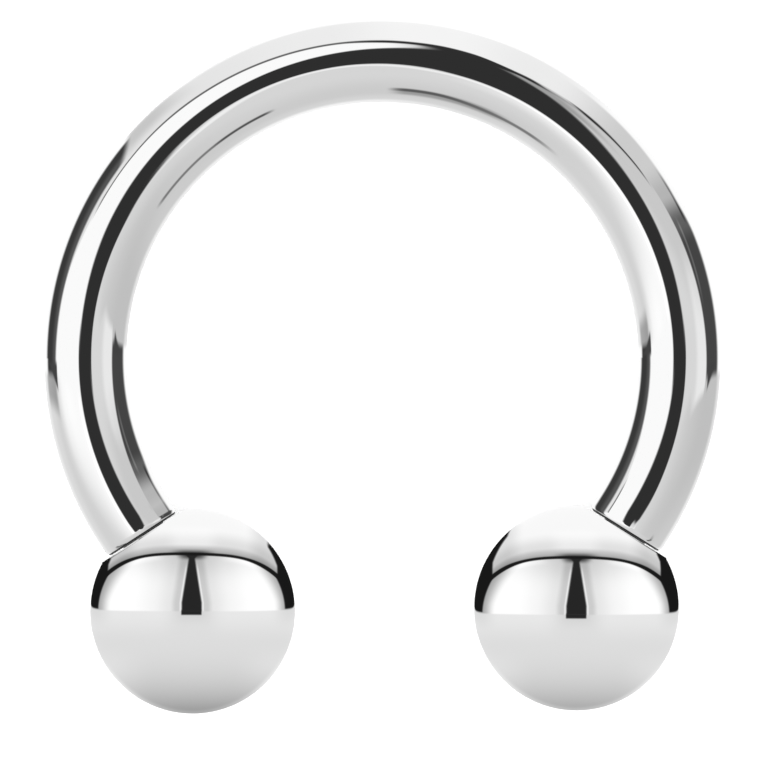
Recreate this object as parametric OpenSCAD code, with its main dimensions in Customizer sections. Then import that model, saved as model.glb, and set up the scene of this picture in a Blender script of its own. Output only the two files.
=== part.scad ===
// Horseshoe barbell: a curved round steel bar with a screw-on ball at each end.
// It lies on its side as it would on a table, on both balls and on the back of the curve.
// Millimetres. +Z is up, +Y runs from the balls to the back of the curve, and the origin is
// on the table under the centre of the outline. Angles are in degrees.

/* [Bar] */
// Diameter of the round bar
bar_d = 1.6; // [1.5:0.1:2]
// Inner diameter of the curve
inner_d = 10; // [8:0.5:14]
// Angle that the curve runs past its half circle at each end
end_drop = 32.5; // [28:0.5:36]
// Straight run between the curve and the ball
straight_len = 0.35; // [0.1:0.05:1]
// Bevel round the bar's shoulder
shoulder_bevel = 0.09; // [0.03:0.01:0.1]

/* [Balls] */
// Diameter of each ball
ball_d = 4; // [3.5:0.25:4.5]
// Diameter of the flat on the ball that meets the bar's shoulder
seat_d = 1.9; // [1.7:0.05:2]
// Width of the line that shows between bar and ball
seat_gap = 0.02; // [0.01:0.01:0.04]
// Depth of the ball's hole, without the drill's point
hole_depth = 2.1; // [1.9:0.1:2.3]

/* [Thread] */
// Outer diameter of the thread
thread_d = 1.2; // [1.1:0.05:1.2]
// Advance in one turn
thread_pitch = 0.25; // [0.2:0.05:0.3]
// Length of the threaded post, from the shoulder to its tip
post_len = 1.8; // [1.5:0.1:1.8]

/* [Hidden] */
$fn = 96;

left = -1;
right = 1;

bar_r = bar_d / 2;
ball_r = ball_d / 2;
curve_r = inner_d / 2 + bar_r; // middle of the bar
curve_turn = 180 + 2 * end_drop;
end_r = bar_r + 0.003; // the straight run is a hair thicker, so that it takes in the curve's end
end_overlap = 0.05;

// The threaded post
thread_depth = 0.55 * thread_pitch;
core_r = thread_d / 2 - thread_depth;
flank = thread_depth * tan(30);
crest_flat = thread_pitch / 8;
relief_len = 0.15; // plain neck where the thread runs out
tip_len = 0.15;
ridges = floor((post_len - relief_len - tip_len) / thread_pitch);

// The ball, measured along the hole from its seat
seat_r = seat_d / 2;
seat_depth = sqrt(pow(ball_r, 2) - pow(seat_r, 2)); // seat to centre
hole_r = thread_d / 2 + 0.03;
countersink = 0.04;
drill_point = hole_r * tan(30);
rim_bevel = 0.02;

// Where a ball's centre lies in the plane of the curve, below the curve's centre
ball_drop = curve_r * sin(end_drop) + (straight_len + seat_gap + seat_depth) * cos(end_drop);

// Lying on the table: the balls are thicker than the bar, so the curve leans back
lie_tilt = asin((ball_r - bar_r) / (curve_r + ball_drop));
lie_height = bar_r + curve_r * sin(lie_tilt);
lie_shift = (ball_r - bar_r - (curve_r - ball_drop) * cos(lie_tilt)) / 2;

// Moves the flat horseshoe, drawn round the curve's centre, to where it lies
module lying() {
    translate([0, lie_shift, lie_height])
        rotate([-lie_tilt, 0, 0])
            children();
}

// Frame of one bar end: origin at the middle of the shoulder, +Z out of the bar into the ball
module at_end(side) {
    end_angle = 270 + side * (90 - end_drop);
    outwards = [-side * sin(end_drop), -cos(end_drop), 0];
    translate(curve_r * [cos(end_angle), sin(end_angle), 0] + straight_len * outwards)
        rotate([90, 0, -side * end_drop])
            children();
}

// The bent stretch of the bar
module curve() {
    rotate([0, 0, -end_drop])
        rotate_extrude(angle = curve_turn)
            translate([curve_r, 0])
                circle(r = bar_r);
}

// The thread's ridges are drawn as rings, each up its flank, along the crest and down again
function ridge(i) =
    let (z = relief_len + i * thread_pitch)
    [
        [core_r, z],
        [thread_d / 2, z + flank],
        [thread_d / 2, z + flank + crest_flat],
        [core_r, z + 2 * flank + crest_flat]
    ];

// Straight end with its bevelled shoulder, and the threaded post with its bevelled tip
module turned_end() {
    rotate_extrude()
        polygon([
            [0, -straight_len - end_overlap],
            [end_r, -straight_len - end_overlap],
            [end_r, -shoulder_bevel],
            [end_r - shoulder_bevel, 0],
            [core_r, 0],
            for (i = [0 : ridges - 1]) each ridge(i),
            [core_r, post_len - tip_len],
            [core_r - tip_len, post_len],
            [0, post_len]
        ]);
}

module bar() {
    color("silver")
        lying() {
            curve();
            for (side = [left, right])
                at_end(side)
                    turned_end();
        }
}

// Half outline of the ball: the seat lies on the X axis and the hole runs up the Y axis
module ball_outline() {
    difference() {
        intersection() {
            translate([0, seat_depth])
                circle(r = ball_r);
            square([ball_d, 2 * ball_d]);
        }
        square([hole_r, hole_depth]);
        polygon([[0, 0], [hole_r + countersink, 0], [hole_r, countersink], [0, countersink]]);
        polygon([[0, hole_depth], [hole_r, hole_depth], [0, hole_depth + drill_point]]);
        polygon([[seat_r - rim_bevel, 0], [seat_r + rim_bevel, 0], [seat_r + rim_bevel, 2 * rim_bevel]]);
    }
}

module ball(side) {
    color("silver")
        lying()
            at_end(side)
                translate([0, 0, seat_gap])
                    rotate_extrude()
                        ball_outline();
}

bar();
ball(left);  // ball_left
ball(right);  // ball_right
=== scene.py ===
# Horseshoe barbell: the polished bar and its two screw-on balls, lying on a pale table.
# Pieces are shaped in millimetres and scaled to metres as they are put in place.
import math

import bmesh
import bpy
from mathutils import Matrix, Vector


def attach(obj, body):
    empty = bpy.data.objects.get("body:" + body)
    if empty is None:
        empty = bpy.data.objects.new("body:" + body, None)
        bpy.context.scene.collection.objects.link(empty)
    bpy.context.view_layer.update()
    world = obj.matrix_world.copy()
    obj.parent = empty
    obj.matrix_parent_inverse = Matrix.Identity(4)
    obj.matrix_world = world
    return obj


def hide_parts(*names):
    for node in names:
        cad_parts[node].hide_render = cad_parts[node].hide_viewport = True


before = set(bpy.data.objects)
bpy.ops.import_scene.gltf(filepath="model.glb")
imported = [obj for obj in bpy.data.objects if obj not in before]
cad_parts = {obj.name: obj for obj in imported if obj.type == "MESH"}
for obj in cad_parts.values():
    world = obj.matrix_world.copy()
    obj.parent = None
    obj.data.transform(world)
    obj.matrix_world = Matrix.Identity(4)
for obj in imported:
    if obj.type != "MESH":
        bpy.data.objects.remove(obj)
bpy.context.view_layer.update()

MM = 0.001
RIGHT = 1
LEFT = -1
AXIS = Vector((0, 0, 1))  # of a bar end and its ball, in their own frame
SAME_PLACE = 0.001  # places nearer than this count as one
MERGE = 1e-4  # corners nearer than this are merged
SMOOTH_ANGLE = math.radians(40)  # edges sharper than this stay sharp
SLOPE = math.tan(math.radians(30))  # of the thread's flanks and the drill's point

# The bar, as the CAD has it
BAR_R = 0.8
CURVE_R = 5.8
END_DROP = math.radians(32.5)  # how far the curve runs past its half circle
CURVE_TURN = math.pi + 2 * END_DROP
STRAIGHT_LEN = 0.35
SHOULDER_ROUND = 0.09
SHOULDER_LEN = 0.13
SHOULDER_STEPS = 8
BAR_SIDES = 128
CURVE_STEPS = 245

# The threaded post
THREAD_R = 0.6
THREAD_PITCH = 0.25
THREAD_DEPTH = 0.55 * THREAD_PITCH
HALF_CREST = THREAD_PITCH / 16
CORE_R = THREAD_R - THREAD_DEPTH
POST_LEN = 1.8
RELIEF_LEN = 0.15  # plain neck at the post's foot
TIP_LEN = 0.15
THREAD_STEPS = 48  # to a turn
THREAD_FOOT = 0.05  # how deep a ridge is sunk into what carries it
RUN_OUT = 0.4  # turns over which a ridge runs out
RUN_OUT_LEFT = 0.25  # share of its height at its very ends

# The balls
BALL_R = 2.0
SEAT_R = 0.95
SEAT_GAP = 0.02
SEAT_DEPTH = math.sqrt(BALL_R**2 - SEAT_R**2)  # from the seat to the ball's centre
RIM_HEIGHT = 0.015  # of the seat's rounded rim
RIM_ROUND = ((1, 0), (0.45, 0.004), (0.12, 0.013), (0, 0.026))  # (share of the height, way inwards)
HOLE_R = 0.63
HOLE_DEPTH = 2.1
COUNTERSINK = 0.04
DRILL_POINT = HOLE_R * SLOPE
POINT_FLAT = 0.02  # share of the hole's radius at which the drill's point is closed
GROOVE_DEPTH = 0.07
GROOVE_START = 0.12
GROOVE_END = 1.95
BALL_SIDES = 160
BALL_RINGS = 160

# Lying on the table: the balls are thicker than the bar, so the curve leans back
BALL_DROP = CURVE_R * math.sin(END_DROP) + (STRAIGHT_LEN + SEAT_GAP + SEAT_DEPTH) * math.cos(END_DROP)
LEAN = math.asin((BALL_R - BAR_R) / (CURVE_R + BALL_DROP))
LIE_HEIGHT = BAR_R + CURVE_R * math.sin(LEAN)
LIE_SHIFT = (BALL_R - BAR_R - (CURVE_R - BALL_DROP) * math.cos(LEAN)) / 2
LYING = (
    Matrix.Scale(MM, 4)
    @ Matrix.Translation((0, LIE_SHIFT, LIE_HEIGHT))
    @ Matrix.Rotation(-LEAN, 4, "X")
)

# The photograph's view, in its pixels
PHOTO_SIDE = 759
PHOTO_SCALE = 51.22 / MM  # to a metre
PHOTO_MIDDLE = Vector((382.5, 358.05))  # of the curve, from the top left
ROLL = math.radians(0.47)  # it holds the horseshoe a touch askew
CAMERA_DISTANCE = 0.4  # metres
CAMERA_START = 0.01  # metres
SENSOR = 36  # millimetres

# Steel, and the room that it stands in
STEEL = 0.93  # share of the light that polished steel gives back
WAVE_DEPTH = 1e-5  # metres, of the polish's slight waves
MARK_DEPTH = 4e-6  # metres, of the lathe's marks
SCREEN_FOOT = 14  # a screen's curve from light to tones that run to 255
SCREEN_POWER = 2.4
RIGHT_ROOM_DROP = 0.065  # the right ball's room lies lower
NEVER_ZERO = 1e-6
ROOM_LIGHT = 2.4
TABLE_SIZE = 2  # metres
TABLE_TONE = 0.82
TABLE_ROUGHNESS = 0.8


def end_place(side):
    """Frame of one bar end: origin at the middle of the shoulder, +Z out of the bar into the ball."""
    angle = -END_DROP if side == RIGHT else math.pi + END_DROP
    outwards = Vector((-side * math.sin(END_DROP), -math.cos(END_DROP), 0))
    shoulder = CURVE_R * Vector((math.cos(angle), math.sin(angle), 0)) + STRAIGHT_LEN * outwards
    tilt = Matrix.Rotation(math.pi / 2, 4, "X")
    return Matrix.Translation(shoulder) @ Matrix.Rotation(-side * END_DROP, 4, "Z") @ tilt


# Modelling by hand


def pick_none():
    bpy.ops.object.select_all(action="DESELECT")


def pick_only(piece):
    pick_none()
    piece.select_set(True)
    bpy.context.view_layer.objects.active = piece


def named(name):
    """The object that was just added, under its own name."""
    piece = bpy.context.object
    piece.name = name
    piece.data.name = name
    return piece


def edit_all():
    """Opens the picked piece in edit mode, selected all over."""
    bpy.ops.object.mode_set(mode="EDIT")
    bpy.ops.mesh.select_all(action="SELECT")


def edit_done():
    bpy.ops.object.mode_set(mode="OBJECT")


def apply_place():
    """Leaves the picked piece's place in its mesh."""
    bpy.ops.object.transform_apply(location=True, rotation=True, scale=True)


def select_verts(piece, test):
    """Selects the vertices that pass the test, in edit mode."""
    bpy.ops.mesh.select_mode(type="VERT")
    bpy.ops.mesh.select_all(action="DESELECT")
    mesh = bmesh.from_edit_mesh(piece.data)
    for vert in mesh.verts:
        vert.select = test(vert.co)
    mesh.select_flush_mode()
    bmesh.update_edit_mesh(piece.data)


def turn_profile(profile, centre, axis):
    """Carries the selected loop through a lathe profile of (distance along the axis, radius) steps."""
    (reached, radius), rest = profile[0], profile[1:]
    for distance, next_radius in rest:
        bpy.ops.mesh.extrude_edges_move(
            TRANSFORM_OT_translate={"value": axis * (distance - reached), "orient_type": "GLOBAL"}
        )
        size = next_radius / radius
        bpy.ops.transform.resize(value=(size, size, size), center_override=centre + axis * distance)
        reached, radius = distance, next_radius


def rounded_edge(distance, radius, length, width, steps):
    """A rounded outer edge, from along the side to flat across the end."""
    profile = []
    for step in range(steps + 1):
        corner = math.radians(90 * step / steps)
        profile.append((distance + length * math.sin(corner), radius + width * math.cos(corner)))
    return profile


def tidy(piece):
    """Merges doubles, turns faces outwards and shades the piece smooth up to real edges."""
    pick_only(piece)
    edit_all()
    bpy.ops.mesh.remove_doubles(threshold=MERGE)
    bpy.ops.mesh.normals_make_consistent(inside=False)
    edit_done()
    bpy.ops.object.shade_smooth_by_angle(angle=SMOOTH_ANGLE)


def put(piece, place):
    """Moves the piece to its place and leaves the place in its mesh."""
    piece.matrix_world = place
    pick_only(piece)
    apply_place()


def combine(piece, other, operation):
    """One closed solid out of two: their union, or their difference."""
    boolean = piece.modifiers.new("boolean", "BOOLEAN")
    boolean.operation = operation
    boolean.solver = "EXACT"
    boolean.object = other
    pick_only(piece)
    bpy.ops.object.modifier_apply(modifier="boolean")
    bpy.data.objects.remove(other)


# The thread


def wind_section(name, section, start, turns):
    """Carries a section of (radius, height) corners up a helix, and leaves it open at both ends."""
    pick_none()
    bpy.ops.mesh.primitive_plane_add(size=1)
    ridge = named(name)
    for vert, (radius, height) in zip(ridge.data.vertices, section):
        vert.co = (radius, 0, start + height)
    edit_all()
    bpy.ops.mesh.delete(type="ONLY_FACE")
    edit_done()
    screw = ridge.modifiers.new("screw", "SCREW")
    screw.axis = "Z"
    screw.angle = turns * 2 * math.pi
    screw.screw_offset = turns * THREAD_PITCH
    screw.steps = screw.render_steps = round(turns * THREAD_STEPS)
    pick_only(ridge)
    bpy.ops.object.modifier_apply(modifier="screw")
    return ridge


def make_ridge(name, foot_r, crest_r, bottom, top):
    """A screw's ridge: a trapezium carried up a helix, running out into its foot at both ends."""
    flank = (crest_r - foot_r) * SLOPE
    start = bottom + flank + HALF_CREST
    turns = (top - flank - HALF_CREST - start) / THREAD_PITCH
    section = [
        (foot_r, -HALF_CREST - flank),
        (crest_r, -HALF_CREST),
        (foot_r, HALF_CREST + flank),
        (crest_r, HALF_CREST),
    ]
    ridge = wind_section(name, section, start, turns)
    for vert in ridge.data.vertices:
        radius = vert.co.to_2d().length
        turn = math.atan2(vert.co.y, vert.co.x) / (2 * math.pi)
        turn += round((vert.co.z - start) / THREAD_PITCH - turn)
        full = max(0, min(1, turn / RUN_OUT, (turns - turn) / RUN_OUT))
        height = RUN_OUT_LEFT + (1 - RUN_OUT_LEFT) * full
        size = (foot_r + (radius - foot_r) * height) / radius
        vert.co.x *= size
        vert.co.y *= size
    edit_all()
    bpy.ops.mesh.fill_holes(sides=len(section))
    edit_done()
    tidy(ridge)
    return ridge


# The bar


def bend_bar():
    """The round wire: one circle spun round the curve's centre, with its ends open."""
    pick_none()
    start = CURVE_R * Vector((math.cos(-END_DROP), math.sin(-END_DROP), 0))
    bpy.ops.mesh.primitive_circle_add(
        vertices=BAR_SIDES, radius=BAR_R, location=start, rotation=(math.pi / 2, 0, -END_DROP)
    )
    bar = named("bar_polished")
    apply_place()
    edit_all()
    bpy.ops.mesh.spin(steps=CURVE_STEPS, angle=-CURVE_TURN, center=(0, 0, 0), axis=(0, 0, 1))
    edit_done()
    return bar


def turn_end(bar, side):
    """The straight run into the ball, the rounded shoulder, and the plain post with its bevelled tip."""
    place = end_place(side)
    centre = place.translation
    axis = (place.to_3x3() @ AXIS).normalized()

    def at_curve_end(co):
        return abs((co - centre).dot(axis) + STRAIGHT_LEN) < SAME_PLACE and co.x * side > 0

    pick_only(bar)
    edit_all()
    select_verts(bar, at_curve_end)
    shoulder_r = BAR_R - SHOULDER_ROUND
    profile = [(-STRAIGHT_LEN, BAR_R)]
    profile += rounded_edge(-SHOULDER_LEN, shoulder_r, SHOULDER_LEN, SHOULDER_ROUND, SHOULDER_STEPS)
    profile += [(0, CORE_R), (POST_LEN - TIP_LEN, CORE_R), (POST_LEN, CORE_R - TIP_LEN)]
    turn_profile(profile, centre, axis)
    bpy.ops.mesh.edge_face_add()
    edit_done()


def make_bar():
    """The bar with its threaded ends, turned and cut in place."""
    bar = bend_bar()
    for side in (LEFT, RIGHT):
        turn_end(bar, side)
    tidy(bar)
    for side in (LEFT, RIGHT):
        ridge = make_ridge("thread", CORE_R - THREAD_FOOT, THREAD_R, RELIEF_LEN, POST_LEN - TIP_LEN)
        put(ridge, end_place(side))
        combine(bar, ridge, "UNION")
    tidy(bar)
    put(bar, LYING)
    return bar


# The balls


def make_ball(name, side):
    """A ball with its hole: a globe cut off at the seat, then rim, countersink, hole and drill point."""
    pick_none()
    bpy.ops.mesh.primitive_uv_sphere_add(
        segments=BALL_SIDES, ring_count=BALL_RINGS, radius=BALL_R, location=(0, 0, SEAT_DEPTH)
    )
    ball = named(name)
    apply_place()
    edit_all()
    bpy.ops.mesh.bisect(plane_co=(0, 0, RIM_HEIGHT), plane_no=AXIS, clear_inner=True)
    select_verts(ball, lambda co: co.z < RIM_HEIGHT + MERGE)
    rim_r = math.sqrt(BALL_R**2 - (SEAT_DEPTH - RIM_HEIGHT) ** 2)
    profile = [(RIM_HEIGHT * share, rim_r - inwards) for share, inwards in RIM_ROUND]
    profile += [
        (0, HOLE_R + COUNTERSINK),
        (COUNTERSINK, HOLE_R),
        (HOLE_DEPTH, HOLE_R),
        (HOLE_DEPTH + DRILL_POINT * (1 - POINT_FLAT), HOLE_R * POINT_FLAT),
    ]
    turn_profile(profile, Vector(), AXIS)
    bpy.ops.mesh.merge(type="CENTER")
    edit_done()
    tidy(ball)
    groove = make_ridge("groove", HOLE_R - THREAD_FOOT, HOLE_R + GROOVE_DEPTH, GROOVE_START, GROOVE_END)
    combine(ball, groove, "DIFFERENCE")
    tidy(ball)
    put(ball, LYING @ end_place(side) @ Matrix.Translation(SEAT_GAP * AXIS))
    return ball


# Arithmetic for the lights


class Number:
    """A number that a node tree works out, with ordinary arithmetic."""

    def __init__(self, tree, socket):
        self.tree = tree
        self.socket = socket

    def feed(self, value, socket):
        if isinstance(value, Number):
            self.tree.links.new(value.socket, socket)
        else:
            socket.default_value = value

    def node(self, operation, *inputs):
        math_node = self.tree.nodes.new("ShaderNodeMath")
        math_node.operation = operation
        for value, socket in zip(inputs, math_node.inputs):
            self.feed(value, socket)
        return Number(self.tree, math_node.outputs[0])

    def __add__(self, other):
        return self.node("ADD", self, other)

    def __radd__(self, other):
        return self.node("ADD", other, self)

    def __sub__(self, other):
        return self.node("SUBTRACT", self, other)

    def __rsub__(self, other):
        return self.node("SUBTRACT", other, self)

    def __mul__(self, other):
        return self.node("MULTIPLY", self, other)

    def __rmul__(self, other):
        return self.node("MULTIPLY", other, self)

    def __truediv__(self, other):
        return self.node("DIVIDE", self, other)

    def size(self):
        return self.node("ABSOLUTE", self)

    def root(self):
        return self.node("SQRT", self)

    def power(self, exponent):
        return self.node("POWER", self, exponent)

    def angle(self, up):
        """Direction of the point (self, up), anticlockwise from the right."""
        return self.node("ARCTAN2", up, self)

    def least(self, other):
        return self.node("MINIMUM", self, other)

    def most(self, other):
        return self.node("MAXIMUM", self, other)

    def rise(self, start, end):
        """0 below start, 1 above end, with a soft step between."""
        step = self.tree.nodes.new("ShaderNodeMapRange")
        step.interpolation_type = "SMOOTHSTEP"
        self.feed(self, step.inputs["Value"])
        self.feed(start, step.inputs["From Min"])
        self.feed(end, step.inputs["From Max"])
        return Number(self.tree, step.outputs[0])

    def fall(self, start, end):
        """1 below start, 0 above end."""
        return 1 - self.rise(start, end)

    def between(self, start, full, fade, end):
        """0 below start, 1 from full to fade, and 0 again above end."""
        return self.rise(start, full) * self.fall(fade, end)

    def past(self, edge, soft):
        """0 before an edge and 1 past it, softened by this much to both sides."""
        return self.rise(edge - soft, edge + soft)

    def before(self, edge, soft):
        """1 before an edge and 0 past it."""
        return 1 - self.past(edge, soft)

    def near(self, middle, inner, outer):
        """A line: 1 within inner of its middle, 0 beyond outer."""
        return (self - middle).size().fall(inner, outer)

    def steps(self, tone, *rises):
        """A tone that changes by each amount in turn, given as (amount, start, end)."""
        for amount, start, end in rises:
            tone = tone + amount * self.rise(start, end)
        return tone


def blend(low, high, share):
    """low where share is 0, high where it is 1."""
    return low + (high - low) * share


def length_of(x, y):
    return (x * x + y * y).root()


def as_light(tone):
    """The light that polished steel shows as this tone, from 0 to 255."""
    return ((tone + SCREEN_FOOT) / (255 + SCREEN_FOOT)).power(SCREEN_POWER) / STEEL


# The room as a polished ball would show it: x to the right, y up, and out is 1 at the ball's edge.
# side is the way from the middle, low and deep the way down from the table's far edge, above the
# height over the rail where the panels end, and turn the direction round the middle, in radians.
# Tones run from 0 to 255. Each term adds its amount of tone over the stretches where it applies.

# Tones of the balls' room
DARK_SIDE = 24
DARK_RAIL = 26
DARK_GAP = 38


def ball_table(low, side, out):
    """The table, darker far down and pale again along the ball's edge."""
    tone = 222 - 8 * low * low - 68 * low * low * low * low
    tone = tone + 10 * side.rise(0.1, 0.35) * low.fall(0.0, 0.3)
    tone = tone - 9 * side.fall(0.05, 0.25) * low.fall(0.0, 0.16)
    tone = tone + 9 * side.rise(0.35, 0.8) * low.rise(0.3, 0.6)
    tone = tone - 14 * side.rise(0.75, 0.95) * low.fall(0.0, 0.2)
    return tone + 24 * out.rise(0.95, 1.0) * low.rise(0.4, 0.8)


def ball_panels(x, y, side, above, wall):
    """Two lit panels under the rail, darker towards the gap between them and towards the dark sides."""
    gap = 0.098 - 0.16 * (y - 0.09).most(0) + 0.035 * above.rise(-0.05, 0.0)
    edge = (x + 0.005).size() - gap
    tone = 204 + 36 * edge.fall(0.01, 0.03) * y.fall(0.4, 0.5)
    tone = edge.steps(tone, (27, 0.05, 0.12), (15, 0.1, 0.3), (10, 0.25, 0.5))
    tone = tone - 16 * y.rise(0.2, 0.56) * side.fall(0.3, 0.75) - 9 * y.rise(0.3, 0.56)
    tone = tone + 16 * side.between(0.25, 0.38, 0.6, 0.75) * above.rise(-0.08, -0.02)
    tone = tone - 130 * side.fall(0.03, 0.18) * above.rise(-0.07, -0.01)
    tone = tone - 90 * (side - wall).rise(-0.12 - 0.2 * (y - 0.1).most(0), 0.02)
    return blend(DARK_GAP, tone, edge.past(0, 0.012))


def ball_ceiling(side, above):
    """The ceiling, darker just over the rail, most of all in the middle."""
    tone = above.steps(160, (30, 0.0, 0.05), (34, 0.04, 0.1), (24, 0.1, 0.25))
    tone = tone - 105 * side.fall(0.06, 0.26) * above.fall(0.0, 0.06)
    tone = tone + 12 * side.fall(0.1, 0.3) * above.between(0.05, 0.1, 0.1, 0.3)
    return tone - 25 * side.rise(0.5, 0.7)


def ball_sliver(height, out, drop):
    """What is left of the dark sides over the rail: a sliver along the ball's edge, up to its end."""
    end = 0.62 + 1.2 * drop
    edge = 0.938 - 0.09 * drop + 0.16 * (height - 0.44)
    edge = edge - 0.25 * (0.44 - height).most(0) + 0.27 * (height - end).most(0)
    return out.past(edge, 0.01) * height.fall(end, end + 0.06 + 3 * drop)


def ball_tone(x, y, drop):
    """The balls' room, lowered by drop: a table, two panels under a rail, a ceiling and dark sides."""
    out = length_of(x, y)
    height = y
    y = y + drop
    side = x.size()
    aside = (x + 0.008).size()
    wall = 0.911 - 0.8 * y * y
    square = x * x
    above = y - (0.563 - 0.0135 * x - 0.073 * square - 0.345 * square * square)

    upper = blend(ball_panels(x, y, side, above, wall), ball_ceiling(side, above), above.past(0, 0.004))
    half = 0.013 + 0.014 * side.rise(0.45, 0.9)
    upper = blend(upper, DARK_RAIL, above.size().before(half, 0.007))
    walls = aside.past(wall, 0.01) * above.before(0, 0.01)
    dark = walls.most(ball_sliver(height, out, drop) * above.past(0, 0.01))
    upper = blend(upper, DARK_SIDE, dark * y.rise(0.005, 0.025))

    low = (0 - y).most(0)
    room = blend(ball_table(low, side, out), upper, y.rise(-0.005, 0.015))
    gap_foot = (aside - 0.001).fall(0.09, 0.106) * y.between(-0.04, -0.02, 0.0, 0.03)
    return blend(room, DARK_GAP, gap_foot)


# Tones of the bar's room
PALE_EDGE = 252
WHITE_PANEL = 250
GREY_SMEAR = 150
TABLE_LINE = 92
DARK_CORNER = 66
DARK_BLOCK = 56
DARK_MIDDLE = 46
RAIL_LINE = 40


def bar_table(x, deep, out, turn):
    """The table, lit from the left, with a pale edge, two dark lines and a grey end on the left."""
    tone = 213 - 10 * out.rise(0.3, 0.72) + 9 * out.rise(0.76, 0.9) * x.fall(0.3, 0.7)
    tone = tone + (16 + 18 * x.rise(-0.3, 0.3)) * out.rise(0.9, 0.975)
    tone = tone + 38 * deep.fall(0.06, 0.34) * x.fall(-0.12, -0.02) * out.fall(0.58, 0.78)
    tone = tone + 6 * x.fall(-0.5, -0.3) - 12 * x.rise(0.1, 0.4) * deep.fall(0.2, 0.5)
    smear = out.between(0.62, 0.69, 0.76, 0.83) * turn.between(-2.1, -1.95, -1.66, -1.58)
    tone = blend(tone, GREY_SMEAR, 0.9 * smear)

    left_line = out.near(0.69 + 0.035 * turn.fall(-2.0, -1.75), 0.012, 0.05) * turn.fall(-1.66, -1.58)
    left_line = left_line * (0.75 * turn.rise(-2.3, -2.15) + 0.3 * turn.rise(-2.0, -1.75))
    right_line = out.near(0.65, 0.008, 0.042) * turn.between(-1.17, -1.11, -0.64, -0.575)
    right_line = right_line * (0.75 + 0.35 * turn.fall(-0.95, -0.88))
    tone = blend(tone, TABLE_LINE, left_line + right_line)

    grey_end = deep.between(0.03, 0.05, 0.09, 0.15) * out.between(0.7, 0.76, 0.9, 0.96)
    return tone - 52 * grey_end * x.fall(-0.5, -0.4)


def bar_panels(x, y, turn):
    """A white panel on the left and a grey one on the right."""
    grey = 200 + 14 * y.fall(0.04, 0.15) + 18 * x.rise(0.36, 0.48) * turn.fall(0.24, 0.38)
    grey = grey - 42 * y.rise(0.2, 0.27) * x.fall(0.2, 0.29)
    return blend(WHITE_PANEL, grey, x.rise(0.0, 0.1))


def bar_ceiling(out, turn, slant):
    """The ceiling, which grows paler from the right to the top and darkens over the left block."""
    tone = turn.steps(68, (28, 0.355, 0.425), (84, 0.43, 0.52), (24, 0.53, 0.63), (32, 0.73, 1.02))
    tone = turn.steps(tone, (8, 1.1, 1.35), (-8, 1.5, 1.75), (-8, 1.8, 2.2))
    return tone + 18 * out.rise(0.94, 1.0) - 30 * slant.fall(0.08, 0.26) * out.rise(0.6, 0.85)


def bar_rail(x):
    """Height of the line where the panels end: arched on the left, and lower on the right."""
    from_top = x + 0.12
    low_left = (-0.36 - x).most(0).least(0.15)
    left = 0.492 - 0.85 * from_top * from_top - 3 * low_left * low_left
    left = left - 0.012 * x.between(-0.07, 0.0, 0.04, 0.1)
    far_right = (x - 0.2).most(0)
    right = 0.379 - 1.2 * far_right * far_right
    return blend(left, right, x.rise(0.14, 0.2))


def rail_line(x, above):
    """The thin dark line along the rail, stronger from the gap on and faint in one place."""
    strong = x.rise(-0.07, 0.01)
    faint = 0.8 * x.between(0.2, 0.235, 0.275, 0.31)
    line = above.size().fall(0.008, 0.032 + 0.014 * strong) * (0.72 + 0.28 * strong)
    return line * x.between(-0.55, -0.5, 0.41, 0.45) * (1 - faint)


def bar_gap(x, y, above):
    """The leaning dark gap between the panels."""
    left = -0.168 + 0.228 * y.rise(0.11, 0.4) + 0.033 * y.fall(0.0, 0.09)
    right = y.steps(0.128, (0.022, 0.0, 0.08), (0.02, 0.1, 0.22))
    right = y.steps(right, (-0.02, 0.24, 0.33), (0.065, 0.345, 0.385))
    return x.past(left, 0.02) * x.before(right, 0.02) * above.fall(0.0, 0.03) * y.rise(-0.02, 0.0)


def bar_upper(x, y, out, turn, above):
    """Panels and ceiling, with a dark block at each side and a pale edge outside it."""
    slant = 0.774 * x + 0.633 * y + 0.165  # the way from the line on which the left block ends
    ceiling = bar_ceiling(out, turn, slant)
    upper = blend(bar_panels(x, y, turn), ceiling, above.past(0, 0.012))
    upper = blend(upper, RAIL_LINE, rail_line(x, above))

    left_edge = 0.728 - 0.12 * y
    left_block = out.rise(left_edge - 0.035, left_edge + 0.02) * slant.before(0, 0.02) * x.fall(-0.3, -0.2)
    left_tone = blend(DARK_BLOCK + 28 * out.fall(0.73, 0.84), PALE_EDGE, out.rise(0.9, 0.955))
    upper = blend(upper, left_tone, left_block)

    right_edge = 0.653 - 0.1 * y - 0.9 * y * y
    right_block = out.past(right_edge, 0.02) * x.rise(0.3, 0.4)
    pale_stripe = out.near(0.68, 0.008, 0.03) * turn.between(0.14, 0.26, 0.4, 0.46)
    dark_line = out.near(0.855, 0.008, 0.036) * turn.between(0.41, 0.47, 0.53, 0.62)
    upper = blend(upper, ceiling + 32 * pale_stripe - 62 * dark_line, right_block)

    pale_edge = 0.885 - 0.035 * turn.rise(0.38, 0.5)
    return blend(upper, PALE_EDGE, (out - pale_edge).rise(0, 0.065) * turn.fall(0.8, 1.05))


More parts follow.
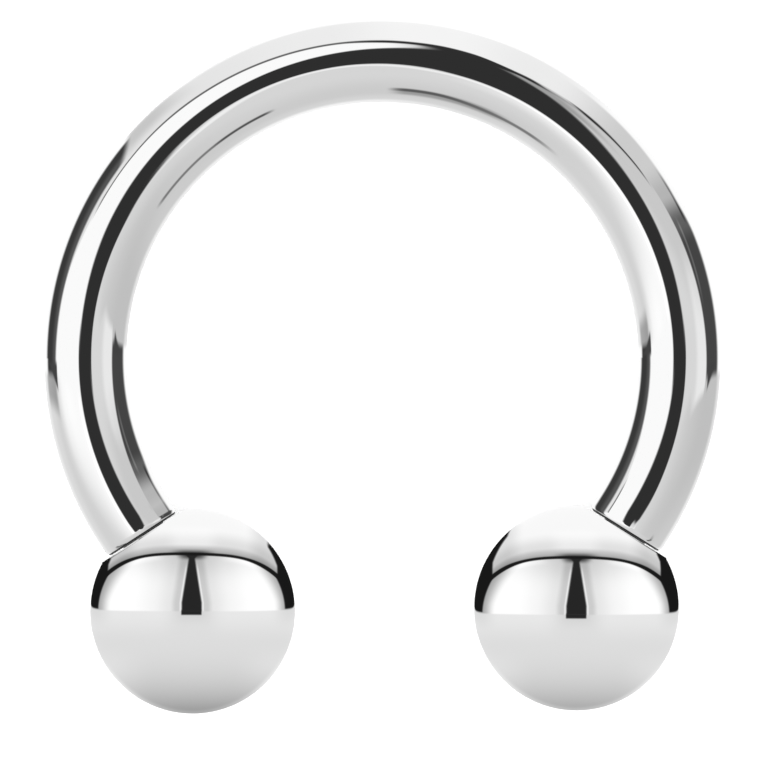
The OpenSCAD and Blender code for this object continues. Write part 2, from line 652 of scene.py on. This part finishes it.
def bar_tone(x, y):
    """The bar's room: a table, a white and a grey panel, a ceiling, dark blocks and a dark middle."""
    out = length_of(x, y)
    turn = x.angle(y)
    deep = (0 - y).most(0)
    above = y - bar_rail(x)

    table_end = -0.04 - 0.028 * x.rise(0.3, 0.4) * out.fall(0.62, 0.66)
    room = bar_table(x, deep, out, turn)
    room = blend(room, bar_upper(x, y, out, turn, above), (y - table_end).past(0, 0.015))
    corner = (y + 0.3 * (0.88 - out)).rise(-0.022, -0.002) * y.fall(-0.02, 0.0)
    room = blend(room, DARK_CORNER, corner * out.between(0.68, 0.71, 0.87, 0.93))

    # the dark middle ends in a round edge on the left and below, and has a pale one under it
    left = x.least(0)
    round_edge = 0.12 * ((41 * left * left + 80 * y * y).root() - 1)
    bottom = 0.068 * x.rise(-0.035, 0.03) - 0.035 * x.rise(0.03, 0.1) - 0.11
    beyond = (bottom - y).most(round_edge)
    middle = beyond.before(0, 0.012) * x.fall(0.135, 0.16) * y.fall(0.0, 0.03)
    pale = beyond.between(0.012, 0.03, 0.04, 0.075) * x.fall(0.1, 0.14) * y.fall(-0.05, -0.02)
    return blend(room + 26 * pale, DARK_MIDDLE, bar_gap(x, y, above).most(middle))


# Light, table and camera


def studio_turn():
    """The photograph's own axes: X to its right, Y up in it, and Z towards the camera."""
    return Matrix.Rotation(-LEAN, 3, "X") @ Matrix.Rotation(-ROLL, 3, "Z")


def sky(name, piece, pattern, behind):
    """Half of a piece's room, before or behind it: a sun as wide as half the sky, for it alone."""
    lamp = bpy.data.lights.new(name, "SUN")
    lamp.angle = math.pi
    lamp.energy = math.pi
    lamp.use_nodes = True
    tree = lamp.node_tree
    towards = tree.nodes.new("ShaderNodeSeparateXYZ")
    tree.links.new(tree.nodes.new("ShaderNodeTexCoord").outputs["Normal"], towards.inputs[0])
    across, up, ahead = (Number(tree, socket) for socket in towards.outputs)
    across = 0 - across
    if not behind:
        up, ahead = 0 - up, 0 - ahead
    # a ball shows a direction where its surface faces halfway between it and the camera
    halfway = (2 + 2 * ahead).most(NEVER_ZERO).root()
    light = as_light(pattern(across / halfway, up / halfway))
    tree.links.new(light.socket, tree.nodes["Emission"].inputs["Color"])
    sun = bpy.data.objects.new(name, lamp)
    bpy.context.scene.collection.objects.link(sun)
    sun.matrix_world = (studio_turn() @ Matrix.Rotation(math.pi if behind else 0, 3, "X")).to_4x4()
    lit = bpy.data.collections.new(name)
    lit.objects.link(piece)
    sun.light_linking.receiver_collection = lit


def soft_room():
    """Even white light on the table, which the polished metal doesn't show."""
    world = bpy.data.worlds.new("room")
    world.use_nodes = True
    background = world.node_tree.nodes["Background"]
    background.inputs["Color"].default_value = (1, 1, 1, 1)
    background.inputs["Strength"].default_value = ROOM_LIGHT
    world.cycles_visibility.glossy = False
    bpy.context.scene.world = world


def make_table():
    """A plain pale table without gloss, which the polished metal doesn't show either."""
    pick_none()
    bpy.ops.mesh.primitive_plane_add(size=TABLE_SIZE, location=(0, 0, 0))
    table = named("table")
    paper = bpy.data.materials.new("pale_table")
    paper.use_nodes = True
    shader = paper.node_tree.nodes["Principled BSDF"]
    shader.inputs["Base Color"].default_value = (TABLE_TONE, TABLE_TONE, TABLE_TONE, 1)
    shader.inputs["Roughness"].default_value = TABLE_ROUGHNESS
    shader.inputs["Specular IOR Level"].default_value = 0
    table.data.materials.append(paper)
    table.visible_glossy = False


def make_camera():
    """Square to the horseshoe's plane, from far away, framed as the photograph is."""
    aside = (PHOTO_SIDE / 2 - PHOTO_MIDDLE.x) / PHOTO_SCALE
    down = (PHOTO_MIDDLE.y - PHOTO_SIDE / 2) / PHOTO_SCALE
    camera = bpy.data.objects.new("camera", bpy.data.cameras.new("camera"))
    bpy.context.scene.collection.objects.link(camera)
    view = studio_turn()
    place = LYING.translation + view @ Vector((aside, down, CAMERA_DISTANCE))
    camera.matrix_world = Matrix.Translation(place) @ view.to_4x4()
    camera.data.sensor_width = SENSOR
    camera.data.lens = SENSOR * CAMERA_DISTANCE / (PHOTO_SIDE / PHOTO_SCALE)
    camera.data.clip_start = CAMERA_START
    bpy.context.scene.camera = camera


# Steels

TURNED, SEAM_SHADE, HOLLOW_SHADE = 1, 2, 3  # each piece's material slots, after the polish in slot 0; the last two are painted shade


def new_metal(name):
    """A metal's material, with its node tree and its shader."""
    material = bpy.data.materials.new(name)
    material.use_nodes = True
    tree = material.node_tree
    shader = tree.nodes["Principled BSDF"]
    shader.inputs["Metallic"].default_value = 1
    return material, tree, shader


def noise(tree, place, scale, detail, dimensions="3D"):
    """Irregular variation from 0 to 1, over a place or along a line."""
    texture = tree.nodes.new("ShaderNodeTexNoise")
    texture.noise_dimensions = dimensions
    texture.inputs["Scale"].default_value = scale
    texture.inputs["Detail"].default_value = detail
    tree.links.new(place, texture.inputs["W" if dimensions == "1D" else "Vector"])
    return texture.outputs[0]


def vary(tree, variation, socket, low, high):
    """Lets a variation carry one of the shader's values from low to high."""
    spread = tree.nodes.new("ShaderNodeMapRange")
    spread.inputs["To Min"].default_value = low
    spread.inputs["To Max"].default_value = high
    tree.links.new(variation, spread.inputs["Value"])
    tree.links.new(spread.outputs[0], socket)


def emboss(tree, variation, shader, strength, depth):
    """Lets a variation raise and lower the surface, by up to this depth in metres."""
    bump = tree.nodes.new("ShaderNodeBump")
    bump.inputs["Strength"].default_value = strength
    bump.inputs["Distance"].default_value = depth
    tree.links.new(variation, bump.inputs["Height"])
    tree.links.new(bump.outputs[0], shader.inputs["Normal"])


def along_ends(tree, place):
    """Distance along either end's axis, in millimetres: the two ends are mirror images."""
    mirrored = tree.nodes.new("ShaderNodeVectorMath")
    mirrored.operation = "ABSOLUTE"
    tree.links.new(place, mirrored.inputs[0])
    along = tree.nodes.new("ShaderNodeVectorMath")
    along.operation = "DOT_PRODUCT"
    along.inputs[1].default_value = (
        math.sin(END_DROP) / MM,
        math.cos(END_DROP) * math.cos(LEAN) / MM,
        math.cos(END_DROP) * math.sin(LEAN) / MM,
    )
    tree.links.new(mirrored.outputs[0], along.inputs[0])
    return along.outputs["Value"]


def polished_steel(name, waviness):
    """Mirror-polished surgical steel: a clean mirror with faint polishing haze and slight waves."""
    material, tree, shader = new_metal(name)
    shader.inputs["Base Color"].default_value = (STEEL, STEEL, STEEL, 1)
    place = tree.nodes.new("ShaderNodeTexCoord").outputs["Object"]
    haze = noise(tree, place, scale=900, detail=4)
    vary(tree, haze, shader.inputs["Roughness"], low=0.012, high=0.035)
    waves = noise(tree, place, scale=700, detail=1)
    emboss(tree, waves, shader, strength=waviness, depth=WAVE_DEPTH)
    return material


def turned_steel(name, tone, roughness):
    """Steel with fine lathe marks round the screw's axis, duller than the polish. At a steel's tone it is
    the lathe's finish; at a near-black tone it is painted shade.
    """
    material, tree, shader = new_metal(name)
    place = tree.nodes.new("ShaderNodeTexCoord").outputs["Object"]
    marks = noise(tree, along_ends(tree, place), scale=60, detail=3, dimensions="1D")
    vary(tree, marks, shader.inputs["Roughness"], low=roughness * 0.8, high=roughness * 1.3)
    vary(tree, marks, shader.inputs["Base Color"], low=tone * 0.8, high=tone * 1.2)
    emboss(tree, marks, shader, strength=0.3, depth=MARK_DEPTH)
    return material


def finish_faces(piece, side, slot, start, end, radius):
    """Gives a material slot to the faces inside a radius of one end's axis, between two depths."""
    to_end = (LYING @ end_place(side)).inverted()
    for face in piece.data.polygons:
        centre = to_end @ face.center
        if start < centre.z < end and centre.to_2d().length < radius:
            face.material_index = slot


def finish_steel(bar, balls):
    """Polish outside, turned threads with painted shade in their roots, painted shade on the neck and in
    the seam, and painted shade in the balls' holes.
    """
    steels = (
        polished_steel("mirror_steel", waviness=0.2),
        turned_steel("turned_steel", tone=0.55, roughness=0.16),
        # near-black: painted shade in the seam, on the shoulder's last round and the post's neck
        turned_steel("painted_seam_shade_steel", tone=0.05, roughness=0.5),
        # dark: painted shade in the thread's roots and inside the balls' holes
        turned_steel("painted_hollow_shade_steel", tone=0.13, roughness=0.3),
    )
    for piece in (bar, *balls.values()):
        piece.visible_glossy = False
        piece.data.materials.clear()
        for steel in steels:
            piece.data.materials.append(steel)
    margin = 0.01  # so that faces on the very edge are taken in
    shaded = 0.034  # the last of the shoulder's round, deep in the seam, which takes the painted seam shade
    point = SEAT_GAP + HOLE_DEPTH + DRILL_POINT
    for side, ball in balls.items():
        finish_faces(bar, side, TURNED, SAME_PLACE, POST_LEN + margin, THREAD_R + margin)
        # painted shade in the thread's roots
        finish_faces(bar, side, HOLLOW_SHADE, SAME_PLACE, POST_LEN - TIP_LEN, CORE_R + 2 * margin)
        # painted shade on the shoulder's last round and the neck, where the ball's seat meets the bar
        finish_faces(bar, side, SEAM_SHADE, -shaded, RELIEF_LEN, BAR_R)
        # painted shade inside the ball's hole
        finish_faces(ball, side, HOLLOW_SHADE, SEAT_GAP + SAME_PLACE, point, HOLE_R + GROOVE_DEPTH + margin)


# Putting it together

bar = make_bar()
ball_left = make_ball("ball_left_polished", LEFT)
ball_right = make_ball("ball_right_polished", RIGHT)
finish_steel(bar, {LEFT: ball_left, RIGHT: ball_right})

for piece, body, node, slot in (
    (bar, "bar", "bar", "bar_steel"),
    (ball_left, "ball_left", "ball_left", "ball_steel"),
    (ball_right, "ball_right", "ball_right", "ball_steel"),
):
    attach(piece, body)
    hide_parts(node)

for name, piece, pattern in (
    ("bar_light", bar, bar_tone),
    ("ball_left_light", ball_left, lambda x, y: ball_tone(x, y, 0)),
    ("ball_right_light", ball_right, lambda x, y: ball_tone(x, y, RIGHT_ROOM_DROP)),
):
    sky(name + "_front", piece, pattern, behind=False)
    sky(name + "_back", piece, pattern, behind=True)
soft_room()
make_table()
make_camera()
bpy.context.scene.view_settings.view_transform = "Standard"
